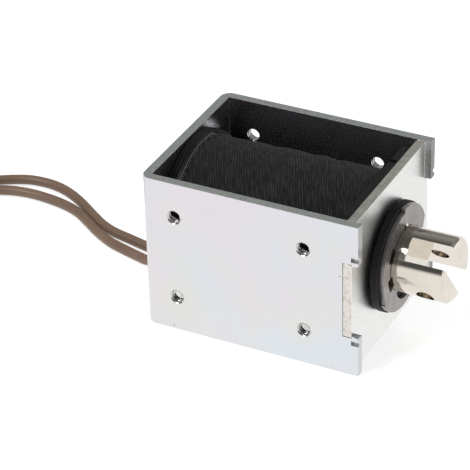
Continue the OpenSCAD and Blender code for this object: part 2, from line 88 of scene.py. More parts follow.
class Shade:
    def __init__(self, owner, rough=0.5, metal=0.0, **fixed):
        self.material = bpy.data.materials.new(owner) if isinstance(owner, str) else owner
        self.material.use_nodes = True
        self.tree = self.material.node_tree
        if not isinstance(owner, str):  # the floor and the world start from nothing
            self.tree.nodes.clear()
            return
        self.body = self.tree.nodes["Principled BSDF"]
        self.body.inputs["Roughness"].default_value = rough
        self.body.inputs["Metallic"].default_value = metal
        for label, value in fixed.items():  # constants sit on the sockets themselves
            self.body.inputs[label.replace("_", " ")].default_value = value

    def node(self, kind, settings=None, sockets=None):
        made = self.tree.nodes.new(kind)
        for label, value in (settings or {}).items():
            if label == "stops":
                ramp = made.color_ramp
                while len(ramp.elements) < len(value):
                    ramp.elements.new(0.5)
                for element, (place, colour) in zip(ramp.elements, value):
                    element.position = place
                    element.color = (*colour, 1)
            else:
                setattr(made, label, value)
        for label, value in (sockets or {}).items():
            socket = made.inputs[label]
            if isinstance(value, Wire):
                self.tree.links.new(value.socket, socket)
            else:
                socket.default_value = value
        return made

    def out(self, node, label=0):
        return Wire(self, node.outputs[label])

    def math(self, operation, a, b=0.0, clamp=False):
        settings = {"operation": operation, "use_clamp": clamp}
        return self.out(self.node("ShaderNodeMath", settings, {0: a, 1: b}))

    def step(self, value, low, high):  # 0 below low, 1 above high
        made = self.node("ShaderNodeMapRange", {"interpolation_type": "SMOOTHSTEP"},
                         {"Value": value, "From Min": low, "From Max": high})
        return self.out(made)

    def mix(self, factor, a, b):
        def full(colour):
            return colour if isinstance(colour, Wire) else (*colour, 1)
        made = self.node("ShaderNodeMix", {"data_type": "RGBA"}, {0: factor, 6: full(a), 7: full(b)})
        return self.out(made, 2)

    def place(self, move=(0, 0, 0), turn=(0, 0, 0), size=(1, 1, 1), source="Object"):
        where = self.out(self.node("ShaderNodeTexCoord"), source)
        return self.out(self.node("ShaderNodeMapping", {"vector_type": "POINT"},
                                  {"Vector": where, "Location": move, "Rotation": turn, "Scale": size}))

    def parts(self, vector):
        made = self.node("ShaderNodeSeparateXYZ", None, {0: vector})
        return [self.out(made, k) for k in range(3)]

    def vector(self, x, y, z=0.0):
        return self.out(self.node("ShaderNodeCombineXYZ", None, {0: x, 1: y, 2: z}))

    def noise(self, where, scale, detail=3.0, rough=0.5, twist=0.0):
        made = self.node("ShaderNodeTexNoise", None, {"Vector": where, "Scale": scale, "Detail": detail,
                                                      "Roughness": rough, "Distortion": twist})
        return self.out(made, 0)

    def cells(self, where, scale, feature="F1"):
        made = self.node("ShaderNodeTexVoronoi", {"feature": feature}, {"Vector": where, "Scale": scale})
        return self.out(made, 0)

    def bump(self, height, distance, strength=1.0, after=None):
        sockets = {"Height": height, "Distance": distance, "Strength": strength}
        if after is not None:
            sockets["Normal"] = after
        return self.out(self.node("ShaderNodeBump", None, sockets))

    def feed(self, **links):
        for label, wire in links.items():
            self.tree.links.new(wire.socket, self.body.inputs[label.replace("_", " ")])
        return self.material


# ---------- materials

zincLook = {
    "pink": (0.845, 0.80, 0.845), "blue": (0.79, 0.84, 0.88), "straw": (0.85, 0.84, 0.77),
    "cut": (0.29, 0.315, 0.30), "cutPale": (0.45, 0.475, 0.455), "cutDull": 0.72,
    # the pale (0.86, 0.88, 0.86) colour below is a painted highlight for the frame's rounded edges
    "bright": 0.75, "edgeHighlight": (0.86, 0.88, 0.86), "dust": (0.42, 0.42, 0.44),
    "rough": 0.27, "patch": 30, "grain": 1500, "ends": 49.0,
    "holeX": 22.8, "holeDx": 15.0, "holeDz": 10.0,
}


def zincSheet():
    look = zincLook
    s = Shade("zincSheet")
    here = s.place()
    cloud = s.noise(here, look["patch"], 2, 0.5, 0.6)
    cloud2 = s.noise(s.place(move=(0.31, 0.17, 0.05)), look["patch"] * 1.7, 3, 0.55, 0.4)
    colour = s.mix(s.step(cloud, 0.30, 0.66), look["pink"], look["blue"])
    colour = s.mix(s.step(cloud2, 0.45, 0.75) * 0.55, colour, look["straw"])
    # passivation halo round each fixing hole
    centre = at(look["holeX"], 0, axisHeight / mm)
    x, y, z = s.parts(s.place(move=(-centre.x, 0, -centre.z)))
    dx = abs(x) - look["holeDx"] * mm
    dz = abs(z) - look["holeDz"] * mm
    away = (dx * dx + dz * dz) ** 0.5
    colour = s.mix((1 - s.step(away, 2.0 * mm, 5.0 * mm)) * 0.45, colour, look["straw"])
    # sheared edges look up and down, and forward at the ends of the legs
    nx, ny, nz = s.parts(s.out(s.node("ShaderNodeTexCoord"), "Normal"))
    frontMost = s.step(s.parts(here)[0], at(look["ends"] - 0.1, 0, 0).x, at(look["ends"], 0, 0).x)
    legEnd = frontMost * s.step(nx, 0.7, 0.9)
    legEnd = legEnd * (1 - (1 - s.step(s.parts(here)[1], -mm, mm)) * look["bright"])  # one end was dressed
    bore = 1 - s.step(away, 1.6 * mm, 1.75 * mm)
    edge = s.math("MAXIMUM", s.step(abs(nz), 0.93, 0.985), legEnd) * (1 - bore)
    corner = s.step(abs(nz), 0.42, 0.60) * (1 - s.step(abs(nz), 0.90, 0.97)) * (1 - bore)
    streak = s.noise(s.place(size=(1, 1, 0.08)), 2600, 3, 0.6)
    colour = s.mix(edge, colour, s.mix(s.step(streak, 0.3, 0.7), look["cut"], look["cutPale"]))
    # painted highlight: the rounded edges get a pale, non-metallic colour, broken up by noise, standing in
    # for the highlight they catch from the lamp
    edgeHighlight = corner * s.step(s.noise(s.place(size=(0.25, 1, 1)), 900, 3, 0.6), 0.28, 0.46)
    colour = s.mix(edgeHighlight, colour, look["edgeHighlight"])
    dust = (1 - s.step(s.cells(here, 260), 0.035, 0.055)) * s.step(s.noise(here, 130, 2, 0.5), 0.56, 0.60)
    colour = s.mix(dust, colour, look["dust"])
    grain = s.noise(here, look["grain"], 3, 0.6)
    roll = s.noise(s.place(size=(0.02, 1, 1)), 700, 2, 0.5)
    rough = look["rough"] + (grain - 0.5) * 0.06 + edge * 0.16 + (cloud2 - 0.5) * 0.08 + dust * 0.5
    return s.feed(Base_Color=colour, Roughness=rough, Metallic=1 - dust - edge * look["cutDull"] - edgeHighlight,
                  Normal=s.bump(grain + roll * 0.5, 0.0004 * mm, 0.5))


plateLook = {"pale": (0.95, 0.955, 0.935), "dull": (0.76, 0.79, 0.78), "cut": (0.31, 0.31, 0.275),
             "cutPale": (0.50, 0.495, 0.44), "tab": (0.90, 0.86, 0.80), "tabDull": (0.62, 0.56, 0.50),
             "rough": 0.33}


def zincPlate():
    look = plateLook
    s = Shade("zincPlate")
    here = s.place()
    fine = s.noise(here, 2600, 3, 0.65)
    broad = s.noise(here, 160, 2, 0.5)
    colour = s.mix(s.step(fine, 0.44, 0.74), look["pale"], look["dull"])
    colour = s.mix(s.step(broad, 0.45, 0.7) * 0.3, colour, (0.90, 0.90, 0.87))
    nx, ny, nz = s.parts(s.out(s.node("ShaderNodeTexCoord"), "Normal"))
    edge = s.step(abs(nz), 0.6, 0.9)
    across = s.noise(s.place(size=(0.12, 1, 1)), 2600, 3, 0.6)
    lengthways = s.noise(s.place(size=(1, 0.08, 1)), 2600, 3, 0.6)
    streak = across * 0.6 + lengthways * 0.4
    colour = s.mix(edge, colour, s.mix(s.step(streak, 0.3, 0.7), look["cut"], look["cutPale"]))
    blotch = s.noise(here, 900, 3, 0.7)
    end = s.step(abs(ny), 0.7, 0.9)
    colour = s.mix(end, colour, s.mix(s.step(blotch, 0.45, 0.7), look["tab"], look["tabDull"]))
    rough = look["rough"] + (fine - 0.5) * 0.25 + edge * 0.15
    return s.feed(Base_Color=colour, Roughness=rough, Metallic=1 - edge * 0.75 - end * 0.25,
                  Normal=s.bump(fine, 0.014 * mm, 0.9))


def metal(name, colour, dark, rough, grainScale=1800, grainDepth=0.003, stretch=(1, 1, 1)):
    s = Shade(name, rough=rough, metal=1.0)
    here = s.place(size=stretch)
    grain = s.noise(here, grainScale, 3, 0.6)
    broad = s.noise(s.place(), 220, 2, 0.5)
    tone = s.mix(s.step(broad, 0.35, 0.7) * 0.6, colour, dark)
    return s.feed(Base_Color=tone, Roughness=rough + (grain - 0.5) * 0.12 + (broad - 0.5) * 0.06,
                  Normal=s.bump(grain, grainDepth * mm, 0.6))


def moulded(name, colour, light, rough, grainScale=1400, grainDepth=0.008, **fixed):
    s = Shade(name, rough=rough, Specular_IOR_Level=0.35, **fixed)
    here = s.place()
    grain = s.noise(here, grainScale, 3, 0.55)
    broad = s.noise(here, 120, 2, 0.5)
    tone = s.mix(s.step(broad, 0.35, 0.75) * 0.7, colour, light)
    scuff = s.step(s.noise(s.place(size=(1, 0.3, 1)), 420, 4, 0.7), 0.66, 0.78)
    tone = s.mix(scuff * 0.3, tone, light)
    return s.feed(Base_Color=tone, Roughness=rough + (grain - 0.5) * 0.2 + scuff * 0.1,
                  Normal=s.bump(grain, grainDepth * mm, 0.8))


clothLook = {"dark": (0.0105, 0.0098, 0.0112), "light": (0.040, 0.038, 0.0415), "worn": (0.062, 0.060, 0.063),
             "rib": 0.60, "slant": 0.47, "lint": (0.22, 0.21, 0.21)}


def wrapCloth():
    look = clothLook
    s = Shade("wrapCloth", Specular_IOR_Level=0.22, Sheen_Weight=0.06, Sheen_Roughness=0.5)
    u, v = s.parts(s.place(source="UV"))[:2]  # round the coil and along it, in millimetres
    warp = v - u * look["slant"]  # the cloth is wound on the slant
    wobble = (s.noise(s.vector(warp * 0.2, u * 0.12), 1.0, 2, 0.5) - 0.5) * 1.1
    turn = (warp + wobble) * (2 * math.pi / look["rib"])
    fine = s.math("SINE", turn) * 0.5 + 0.5
    double = s.math("SINE", turn * 0.5) * 0.5 + 0.5
    broken = s.noise(s.vector(warp * 1.7, u * 0.35), 1.0, 3, 0.6)  # ribs come and go
    fuzz = s.noise(s.vector(warp, u), 4, 3, 0.7)
    picks = s.math("SINE", u * (2 * math.pi / look["rib"])) * 0.5 + 0.5
    weave = fine * s.step(broken, 0.32, 0.62) * 0.50 + double * s.step(broken, 0.45, 0.7) * 0.22
    weave = weave + picks * fine * 0.22 + broken * 0.15 + fuzz * 0.36
    patch = s.noise(s.vector(v * 0.16, u * 0.12), 1.0, 3, 0.55)
    tone = s.mix(s.step(weave, 0.2, 1.0), look["dark"], look["light"])
    tone = s.mix(s.step(patch, 0.45, 0.75) * s.step(weave, 0.2, 0.9) * 0.5, tone, look["worn"])
    lint = s.step(s.noise(s.vector(v * 2.2, u), 2.6, 2, 0.8), 0.79, 0.83)
    tone = s.mix(lint * 0.5, tone, look["lint"])
    return s.feed(Base_Color=tone, Roughness=0.80 + fuzz * 0.1, Normal=s.bump(weave, 0.04 * mm, 0.8))


def nickelPlate():
    s = Shade("nickelPlate", rough=0.16, metal=1.0)
    here = s.place()
    broad = s.noise(here, 180, 2, 0.5)
    turned = s.noise(s.place(size=(14, 1, 1)), 260, 3, 0.6)  # faint turning marks
    tone = s.mix(s.step(broad, 0.3, 0.7), (0.835, 0.775, 0.69), (0.775, 0.72, 0.64))
    pit = s.step(s.cells(here, 900), 0.10, 0.16)
    tone = s.mix((1 - pit) * 0.35, tone, (0.5, 0.47, 0.43))
    return s.feed(Base_Color=tone, Roughness=0.09 + (turned - 0.5) * 0.08 + broad * 0.04,
                  Normal=s.bump(turned, 0.002 * mm, 0.5))


def phosphatedSteel():
    s = Shade("phosphatedSteel", metal=0.6)
    here = s.place()
    fine = s.noise(here, 1500, 4, 0.7)
    broad = s.noise(s.place(size=(1, 1, 0.35)), 500, 3, 0.6)
    tone = s.mix(s.step(broad, 0.3, 0.7), (0.36, 0.335, 0.325), (0.27, 0.25, 0.245))
    tone = s.mix(s.step(fine, 0.55, 0.7) * 0.6, tone, (0.50, 0.47, 0.46))
    return s.feed(Base_Color=tone, Roughness=0.15 + fine * 0.10, Normal=s.bump(fine, 0.003 * mm, 0.6))


def bobbinNylon():
    s = Shade("bobbinNylon", Specular_IOR_Level=0.35)
    here = s.place()
    x, y, z = s.parts(s.place(move=(0, 0, -axisHeight)))
    out = (y * y + z * z) ** 0.5
    wander = (s.noise(here, 60, 2, 0.5) - 0.5) * 0.25 * mm
    flank = s.step(abs(s.parts(s.out(s.node("ShaderNodeTexCoord"), "Normal"))[0]), 0.8, 0.9)
    rings = (s.math("SINE", (out + wander) * (2 * math.pi / (0.62 * mm))) * 0.5 + 0.5) * flank
    broad = s.noise(here, 160, 3, 0.6)
    grain = s.noise(here, 1400, 3, 0.55)
    # painted light: the flange faces get a lighter colour than the rims, standing in for the light that falls
    # on them
    tone = s.mix(flank * 0.8, (0.013, 0.0125, 0.0135), (0.034, 0.032, 0.033))
    tone = s.mix(s.step(rings * 0.6 + broad * 0.5, 0.35, 0.95), tone, (0.090, 0.084, 0.084))
    return s.feed(Base_Color=tone, Roughness=0.44 + (grain - 0.5) * 0.2,
                  Normal=s.bump(grain + rings * 2, 0.006 * mm, 0.8))


def leadSkin():
    s = Shade("leadSkin", rough=0.42, Coat_Weight=0.0)
    drawn = s.noise(s.place(source="UV", size=(6, 0.25, 1)), 1.2, 3, 0.6)
    broad = s.noise(s.place(), 90, 2, 0.5)
    tone = s.mix(s.step(broad, 0.3, 0.75), (0.25, 0.160, 0.110), (0.30, 0.196, 0.140))
    tone = s.mix(s.step(drawn, 0.55, 0.8) * 0.35, tone, (0.36, 0.255, 0.195))
    grain = s.noise(s.place(), 1800, 2, 0.5)
    return s.feed(Base_Color=tone, Roughness=0.40 + (drawn - 0.5) * 0.2 + (grain - 0.5) * 0.1,
                  Normal=s.bump(drawn + grain * 0.4, 0.01 * mm, 0.7))


looks = {
    "zincSheet": zincSheet(), "zincPlate": zincPlate(), "wrapCloth": wrapCloth(), "nickel": nickelPlate(),
    "ring": phosphatedSteel(), "lead": leadSkin(),
    "nylon": bobbinNylon(),
    "rubber": moulded("stopRubber", (0.009, 0.009, 0.010), (0.020, 0.020, 0.021), 0.60, 1800, 0.012),
    "outlet": moulded("outletNylon", (0.012, 0.012, 0.013), (0.030, 0.030, 0.032), 0.45),
    "film": moulded("yellowFilm", (0.72, 0.50, 0.10), (0.80, 0.60, 0.18), 0.25, 600, 0.004),
    "sleeve": moulded("glassSleeve", (0.70, 0.64, 0.45), (0.78, 0.74, 0.58), 0.6, 3000, 0.02),
    "copper": metal("enamelledCopper", (0.66, 0.26, 0.12), (0.50, 0.18, 0.08), 0.32, 2500, 0.03, (12, 1, 1)),
    "brass": metal("tubeBrass", (0.80, 0.62, 0.28), (0.66, 0.48, 0.20), 0.22, 900, 0.002, (0.2, 1, 1)),
    "shim": metal("shimBrass", (0.82, 0.66, 0.33), (0.70, 0.54, 0.25), 0.30),
    "bronze": metal("sinteredBronze", (0.52, 0.35, 0.18), (0.38, 0.24, 0.12), 0.48, 2600, 0.02),
    "core": metal("coreIron", (0.62, 0.62, 0.63), (0.48, 0.48, 0.49), 0.34, 1200, 0.004, (6, 1, 1)),
    "rod": metal("rodSteel", (0.74, 0.74, 0.75), (0.62, 0.62, 0.63), 0.22, 1500, 0.002, (0.15, 1, 1)),
    "solder": metal("softSolder", (0.70, 0.70, 0.71), (0.55, 0.55, 0.56), 0.35),
    "tinned": metal("tinnedStrand", (0.78, 0.77, 0.75), (0.62, 0.61, 0.58), 0.28),
    "hem": moulded("hemThread", (0.40, 0.40, 0.42), (0.66, 0.66, 0.68), 0.7),
}
print("materials made:", len(looks))


# ---------- mesh helpers

def newPiece(name, verts, faces, look, uvs=None):
    mesh = bpy.data.meshes.new(name)
    mesh.from_pydata([tuple(v) for v in verts], [], faces)
    if uvs is not None:
        layer = mesh.uv_layers.new(name="UVMap")
        for loop in mesh.loops:
            layer.data[loop.index].uv = uvs[loop.vertex_index]
    mesh.materials.append(looks[look])
    mesh.update()
    piece = bpy.data.objects.new(name, mesh)
    bpy.context.scene.collection.objects.link(piece)
    return piece


def finished(piece):  # turn live modifiers into plain mesh
    bpy.context.view_layer.update()
    shaped = bpy.data.meshes.new_from_object(piece.evaluated_get(bpy.context.evaluated_depsgraph_get()))
    piece.modifiers.clear()
    piece.data = shaped
    return piece


def smooth(mesh, degrees=35):
    mesh.polygons.foreach_set("use_smooth", [True] * len(mesh.polygons))
    mesh.set_sharp_from_angle(angle=math.radians(degrees))


def easedCopy(node, name, look, body, ease, segments=3):
    # a copy of a machined part with its edges broken, as tumbling leaves them
    mesh = frame["nodes"][node].data.copy()
    mesh.name = name
    mesh.materials.clear()
    mesh.materials.append(looks[look])
    form = bmesh.new()
    form.from_mesh(mesh)
    bmesh.ops.remove_doubles(form, verts=form.verts, dist=0.0005 * mm)
    bmesh.ops.dissolve_limit(form, angle_limit=math.radians(0.4), verts=form.verts, edges=form.edges,
                             delimit={"NORMAL"})
    form.to_mesh(mesh)
    form.free()
    for layer in list(mesh.attributes):
        if layer.name in ("sharp_face", "sharp_edge", "custom_normal"):
            mesh.attributes.remove(layer)
    smooth(mesh)
    piece = bpy.data.objects.new(name, mesh)
    bpy.context.scene.collection.objects.link(piece)
    bevel = piece.modifiers.new("ease", "BEVEL")
    bevel.width = ease * mm
    bevel.segments = segments
    bevel.limit_method = "ANGLE"
    bevel.angle_limit = math.radians(32)
    bevel.use_clamp_overlap = True
    weighted = piece.modifiers.new("normals", "WEIGHTED_NORMAL")
    weighted.keep_sharp = True
    finished(piece)
    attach(piece, body)
    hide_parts(node)
    return piece


# ---------- camera, placed first so that the cords are measured against it

cameraView = {"azimuth": 27.46, "elevation": 32.27, "roll": -1.67, "away": 0.5739, "right": 0.01025,
              "up": 0.00884, "lens": 197.04}


def setCamera():
    v = cameraView
    az, el, roll = (math.radians(v[k]) for k in ("azimuth", "elevation", "roll"))
    back = Vector((math.sin(az) * math.cos(el), -math.cos(az) * math.cos(el), math.sin(el)))
    flat = Vector((0, 0, 1)).cross(back).normalized()
    tall = back.cross(flat)
    right = math.cos(roll) * flat + math.sin(roll) * tall
    up = -math.sin(roll) * flat + math.cos(roll) * tall
    turn = Matrix((right, up, back)).transposed()
    data = bpy.data.cameras.new("camera")
    data.lens = v["lens"]
    data.sensor_width = 36
    data.clip_start = 0.01
    data.clip_end = 50
    camera = bpy.data.objects.new("camera", data)
    place = at(0, 0, 0) + right * v["right"] + up * v["up"] + back * v["away"]
    camera.matrix_world = Matrix.Translation(place) @ turn.to_4x4()
    bpy.context.scene.collection.objects.link(camera)
    bpy.context.scene.camera = camera


setCamera()
print("camera set")


# ---------- the two flying leads

leadForm = {"radius": 1.15, "pitch": 5.0, "outlet": 1.5, "height": 6.0, "turnRadius": 14.1, "turns": 2,
            "turnPitch": 2.4, "curl": 5.0, "curlTurn": 75, "tip": 5.0, "length": 0.232}
lie = leadForm["radius"]
leadRuns = {
    "leadA": {"side": 1, "coilAt": (-84.5, 22), "join": -70, "way": -1, "run": [
        (-3, 2.6, 6), (-5, 2.8, 5.5), (-7, 3.2, 4), (-9, 3.7, 2.4), (-11, 4.2, 1.5), (-13, 4.8, lie),
        (-18, 6, lie), (-23, 7.2, lie), (-27, 9, lie), (-31.5, 12, lie), (-36.3, 15.4, lie),
        (-40.5, 17.8, lie), (-44.3, 19.2, lie), (-48, 19.7, lie), (-52, 19.4, lie),
        (-55.5, 18.1, lie), (-59, 16.2, lie), (-64, 13.6, lie), (-69, 11.6, lie), (-74, 10.3, lie)]},
    "leadB": {"side": -1, "coilAt": (-70.5, -6), "join": 85, "way": 1, "run": [
        (-3, -2.5, 6), (-5, -2.2, 5.3), (-7, -1.6, 3.6), (-9, -0.9, 2), (-10.8, -0.3, 1.3), (-13, 0.4, lie),
        (-18, 1.8, lie), (-22, 3.2, lie), (-26.5, 5.7, lie), (-31, 8.8, lie), (-35, 11.3, lie),
        (-39.5, 12.9, lie), (-44, 13.7, lie), (-48.6, 14, lie), (-53, 13.5, lie),
        (-57, 12.2, lie), (-62, 10.2, lie), (-67, 7.6, lie)]},
}


def splinePoint(p, i, t):
    a, b, c, d = p[max(i - 1, 0)], p[i], p[i + 1], p[min(i + 2, len(p) - 1)]
    bend = 2 * a - 5 * b + 4 * c - d
    twist = 3 * b - a - 3 * c + d
    return 0.5 * (2 * b + (c - a) * t + bend * t * t + twist * t ** 3)


def refined(points, steps):
    out = [splinePoint(points, i, k / steps) for i in range(len(points) - 1) for k in range(steps)]
    return out + [points[-1]]


def leadPath(run):
    f = leadForm
    points = [Vector((-f["outlet"], run["side"] * f["pitch"] / 2, f["height"]))]
    points += [Vector(p) for p in run["run"]]
    centre = Vector((*run["coilAt"], lie))
    for k in range(0, f["turns"] * 24 + 1):  # the coil's turns, each inside the last
        radius = f["turnRadius"] - f["turnPitch"] * k / 24
        angle = math.radians(run["join"] + run["way"] * k * 15)
        points.append(centre + Vector((math.cos(angle), math.sin(angle), 0)) * radius)
    inner = f["turnRadius"] - f["turns"] * f["turnPitch"] - f["curl"]
    turn = Matrix.Rotation(math.radians(run["join"]), 3, "Z")
    for k in range(1, 6):  # the end curls in
        a = math.radians(f["curlTurn"] * k / 5)
        curl = Vector((inner + f["curl"] * math.cos(a), run["way"] * f["curl"] * math.sin(a), 0))
        points.append(centre + turn @ curl)
    a = math.radians(90 + f["curlTurn"])
    heading = turn @ Vector((math.cos(a), run["way"] * math.sin(a), 0))
    return [at(*p) for p in refined(points, 3)], heading


def sweep(path, radius, sides, firstDirection=None):
    # a closed round tube along the points, with its seam carried along without twist
    verts, uvs, faces = [], [], []
    n = len(path)
    across, run = None, 0.0
    for i, p in enumerate(path):
        heading = (path[min(i + 1, n - 1)] - path[max(i - 1, 0)]).normalized()
        if i == 0 and firstDirection is not None:
            heading = firstDirection
        if across is None:
            across = heading.orthogonal().normalized()
        across = (across - heading * across.dot(heading)).normalized()
        other = heading.cross(across)
        run += (p - path[i - 1]).length if i else 0
        for k in range(sides):
            a = 2 * math.pi * k / sides
            verts.append(p + radius * (math.cos(a) * across + math.sin(a) * other))
            uvs.append((abs(k / sides - 0.5) * 2, run / mm))
    for i in range(n - 1):
        for k in range(sides):
            a, b = i * sides + k, i * sides + (k + 1) % sides
            faces.append((a, b, b + sides, a + sides))
    faces.append(tuple(reversed(range(sides))))
    faces.append(tuple((n - 1) * sides + k for k in range(sides)))
    return verts, faces, uvs


def strands(name, start, heading, length, look):
    # tinned strands twisted together
    verts, faces = [], []
    side = heading.orthogonal().normalized()
    other = heading.cross(side)
    for s in range(7):
        line = []
        for k in range(15):
            t = k / 14
            spread = (0 if s == 0 else 0.29) * mm * (1 - 0.25 * t)
            a = 2 * math.pi * (s / 6 + t * 1.1)
            line.append(start + heading * length * t + spread * (math.cos(a) * side + math.sin(a) * other))
        v, f, _ = sweep(line, 0.145 * mm, 8)
        faces += [tuple(i + len(verts) for i in face) for face in f]
        verts += v
    piece = newPiece(name, verts, faces, look)
    smooth(piece.data, 50)
    return piece


def makeLeads():
    for name, letter in (("leadA", "a"), ("leadB", "b")):
        run = leadRuns[name]
        path, heading = leadPath(run)
        total = sum((b - a).length for a, b in zip(path, path[1:]))
        verts, faces, uvs = sweep(path, lie * mm, 16, Vector((-1, 0, 0)))
        tube = newPiece(name, verts, faces, "lead", uvs)
        smooth(tube.data, 50)
        start = path[-1] - heading * 0.3 * mm  # a little inside the insulation
        tip = strands(name + "Strands", start, heading, leadForm["tip"] * mm, "tinned")
        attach(tube, "solenoid")
        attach(tip, "solenoid")
        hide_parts("lead_" + letter, "lead_" + letter + "_coil")
        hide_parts("lead_" + letter + "_tip")
        print(name, "is", round(total * 1000, 1), "mm long")


makeLeads()


# ---------- metal and moulded parts, with their edges broken

easedParts = {
    "frame": ("bentFrame", "zincSheet", "solenoid", 0.36),
    "front_plate": ("staked_plate", "zincPlate", "solenoid", 0.16),
    "bobbin": ("coilBobbin", "nylon", "solenoid", 0.15),
    "guide_tube": ("brassTube", "brass", "solenoid", 0.08),
    "fixed_core": ("rivetedCore", "core", "solenoid", 0.12),
    "lead_outlet": ("leadOutlet", "outlet", "solenoid", 0.15),
    "damping_washer": ("stopWasher", "rubber", "stop_washer", 0.18),
    "plunger": ("forkedPlunger", "nickel", "plunger_set", 0.14),
    "retaining_ring": ("eRing", "ring", "plunger_set", 0.07),
    "push_rod": ("pushRod", "rod", "plunger_set", 0.06),
}
for node, (name, look, body, ease) in easedParts.items():
    easedCopy(node, name, look, body, ease)
hiddenLooks = {"winding": "copper", "coil_tape": "film", "rod_bush": "bronze", "residual_shim": "shim",
               "inner_leads": "lead", "solder_joints": "solder", "joint_sleeves": "sleeve"}
for node, look in hiddenLooks.items():
    mesh = frame["nodes"][node].data
    mesh.materials.clear()
    mesh.materials.append(looks[look])
print("parts eased:", len(easedParts))


# ---------- cloth wrap

wrapForm = {"radius": 17.06, "inner": 16.62, "around": 260, "along": 160, "hem": 0.24, "flat": (0.040, 0.116)}


def bell(value, middle, width):
    return math.exp(-((value - middle) / width) ** 2)


def wrapRadius(angle, x, length):
    # tight over the coil, with the slack ripples that a wound cloth has
    t = x / length
    free = min(1, x / 7) * min(1, (length - x) / 3)
    ends = 0.30 * bell(x, 0, 0.6) - 0.34 * bell(x, 2.2, 1.7) - 0.22 * bell(x, length, 1.2)
    slack = 0.15 * math.sin(2 * angle + 5.2 * t + 0.6) + 0.13 * math.sin(3 * angle - 9.1 * t + 1.9)
    slack += 0.09 * math.sin(7 * angle + 13.0 * t) * math.sin(5.1 * t + 0.4)
    slack += 0.17 * math.sin(23.0 * t + math.sin(2 * angle)) * math.sin(9.3 * t + 1.1)
    slack += 0.07 * math.sin(47.0 * t + 2 * math.sin(3 * angle)) * math.sin(4.2 * t + 2.0)
    fold = 0.26 * bell(x, 5.2 + 1.2 * math.sin(angle), 1.3) * bell(math.sin(angle - 1.15), 0, 0.16)
    crease = 0.12 * bell(x, 22 + 6 * math.sin(angle * 2), 1.1) * (0.5 + 0.5 * math.sin(3 * angle + 1.0))
    slack += (0.32 * bell(x, 27, 4.5) - 0.36 * bell(x, 5, 2.2)) * bell(angle, math.radians(62), 0.35)
    fine = 0.022 * math.sin(x * 4.3 + 1.3 * math.sin(angle * 4)) + 0.014 * math.sin(x * 7.9 + angle * 2)
    return wrapForm["radius"] + ends + free * (slack + crease) + fold + fine


def makeWrap():
    f = wrapForm
    low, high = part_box("coil_wrap")
    start, length = low.x, (high.x - low.x) / mm
    verts, uvs, faces = [], [], []
    rows = f["along"] + 1
    for i in range(rows):
        x = length * i / f["along"]
        for k in range(f["around"] + 1):
            a = 2 * math.pi * k / f["around"]
            r = wrapRadius(a if k < f["around"] else 0, x, length) * mm if 0 < i < f["along"] else \
                (wrapRadius(a if k < f["around"] else 0, x, length) - 0.12) * mm
            verts.append(Vector((start + x * mm, r * math.cos(a), axisHeight + r * math.sin(a))))
            uvs.append((a * f["radius"], x))
    for x in (length, 0):  # the inner side that lies on the coil
        for k in range(f["around"] + 1):
            a = 2 * math.pi * k / f["around"]
            r = f["inner"] * mm
            verts.append(Vector((start + x * mm, r * math.cos(a), axisHeight + r * math.sin(a))))
            uvs.append((a * f["radius"], x))
    wide = f["around"] + 1
    for i in range(rows + 1):
        for k in range(f["around"]):
            a, b = i * wide + k, i * wide + k + 1
            faces.append((a, a + wide, b + wide, b))
    last = (rows + 1) * wide
    for k in range(f["around"]):
        faces.append((last + k, k, k + 1, last + k + 1))
    wrap = newPiece("clothWrap", verts, faces, "wrapCloth", uvs)
    form = bmesh.new()
    form.from_mesh(wrap.data)
    bmesh.ops.remove_doubles(form, verts=form.verts, dist=0.0005 * mm)
    bmesh.ops.recalc_face_normals(form, faces=form.faces)
    form.to_mesh(wrap.data)
    form.free()
    smooth(wrap.data, 60)
    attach(wrap, "solenoid")
    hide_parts("coil_wrap")
    return wrap


wrap = makeWrap()
print("cloth wrap made")


# ---------- geometry nodes

class Graph:
    def __init__(self, name, look, **inputs):
        self.tree = bpy.data.node_groups.new(name, "GeometryNodeTree")
        self.look = look
        self.tree.interface.new_socket("Geometry", in_out="OUTPUT", socket_type="NodeSocketGeometry")
        self.ids = {}
        for label, value in inputs.items():
            kind = "NodeSocketInt" if isinstance(value, int) else "NodeSocketFloat"
            socket = self.tree.interface.new_socket(label, in_out="INPUT", socket_type=kind)
            socket.default_value = value
            self.ids[label] = socket.identifier
        self.values = inputs
        self.entry = self.tree.nodes.new("NodeGroupInput")

    def value(self, label):
        return self.entry.outputs[label]

    def add(self, kind, settings=None, sockets=None):
        made = self.tree.nodes.new(kind)
        for label, value in (settings or {}).items():
            setattr(made, label, value)
        for label, value in (sockets or {}).items():
            if isinstance(value, bpy.types.NodeSocket):
                self.tree.links.new(value, made.inputs[label])
            else:
                made.inputs[label].default_value = value
        return made

    def circle(self, resolution, radius):
        made = self.add("GeometryNodeCurvePrimitiveCircle", {"mode": "RADIUS"},
                        {"Resolution": resolution, "Radius": self.value(radius)})
        return made.outputs[0]

    def math(self, operation, a, b=0.0):
        return self.add("ShaderNodeMath", {"operation": operation}, {0: a, 1: b}).outputs[0]

    def join(self, *parts):
        made = self.tree.nodes.new("GeometryNodeJoinGeometry")
        for part in parts:
            self.tree.links.new(part, made.inputs[0])
        return made.outputs[0]

    def build(self, name, geometry):
        real = self.add("GeometryNodeRealizeInstances", None, {"Geometry": geometry}).outputs[0]
        painted = self.add("GeometryNodeSetMaterial", None, {"Geometry": real, "Material": looks[self.look]})
        last = self.tree.nodes.new("NodeGroupOutput")
        self.tree.links.new(painted.outputs[0], last.inputs[0])
        mesh = bpy.data.meshes.new(name)
        piece = bpy.data.objects.new(name, mesh)
        bpy.context.scene.collection.objects.link(piece)
        modifier = piece.modifiers.new("nodes", "NODES")
        modifier.node_group = self.tree
        for label, value in self.values.items():
            modifier[self.ids[label]] = value
        return finished(piece)


threadForm = {"pitch": 0.5, "turns": 3.4, "bore": 1.5, "ridge": 0.14, "inset": 0.15, "dx": 30.0, "dz": 20.0,
              "holeX": 22.8}


